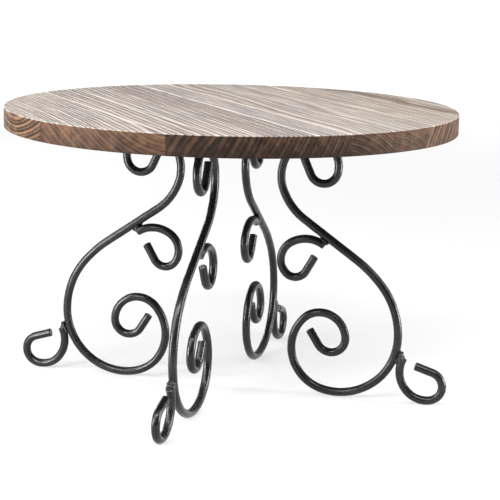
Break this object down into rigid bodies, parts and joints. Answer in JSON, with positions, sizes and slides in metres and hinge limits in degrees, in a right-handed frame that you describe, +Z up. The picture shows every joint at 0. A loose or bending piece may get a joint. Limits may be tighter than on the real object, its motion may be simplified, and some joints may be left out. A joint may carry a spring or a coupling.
{
  "type": "cake stand",
  "caption": "Round stand with a flat board of edge-glued wooden strips on four scrolled legs bent from round metal bar.",
  "frame": {"origin": "on the floor under the centre of the board", "axes": "+Z up through the centre of the board; the four legs stand on +X, +Y, -X and -Y"},
  "size_m": [0.3008, 0.3008, 0.1905],
  "materials": {
    "board_wood": "limed and brushed softwood, browned rim",
    "black_bar": "satin black paint on forged-look bar",
    "screw_steel": "bright zinc"
  },
  "bodies": {
    "root": {"board_strip_1": "board_wood", "board_strip_2": "board_wood", "board_strip_3": "board_wood", "board_strip_4": "board_wood", "board_strip_5": "board_wood", "board_strip_6": "board_wood", "board_strip_7": "board_wood", "board_strip_8": "board_wood", "board_strip_9": "board_wood", "board_strip_10": "board_wood", "right_main_scroll": "black_bar", "right_inner_curl": "black_bar", "right_foot_curl": "black_bar", "right_inner_curl_weld": "black_bar", "right_foot_curl_weld": "black_bar", "right_tab_weld": "black_bar", "right_mounting_tab": "black_bar", "back_main_scroll": "black_bar", "back_inner_curl": "black_bar", "back_foot_curl": "black_bar", "back_inner_curl_weld": "black_bar", "back_foot_curl_weld": "black_bar", "back_tab_weld": "black_bar", "back_mounting_tab": "black_bar", "left_main_scroll": "black_bar", "left_inner_curl": "black_bar", "left_foot_curl": "black_bar", "left_inner_curl_weld": "black_bar", "left_foot_curl_weld": "black_bar", "left_tab_weld": "black_bar", "left_mounting_tab": "black_bar", "front_main_scroll": "black_bar", "front_inner_curl": "black_bar", "front_foot_curl": "black_bar", "front_inner_curl_weld": "black_bar", "front_foot_curl_weld": "black_bar", "front_tab_weld": "black_bar", "front_mounting_tab": "black_bar", "tab_screws": "screw_steel"}
  },
  "joints": []
}
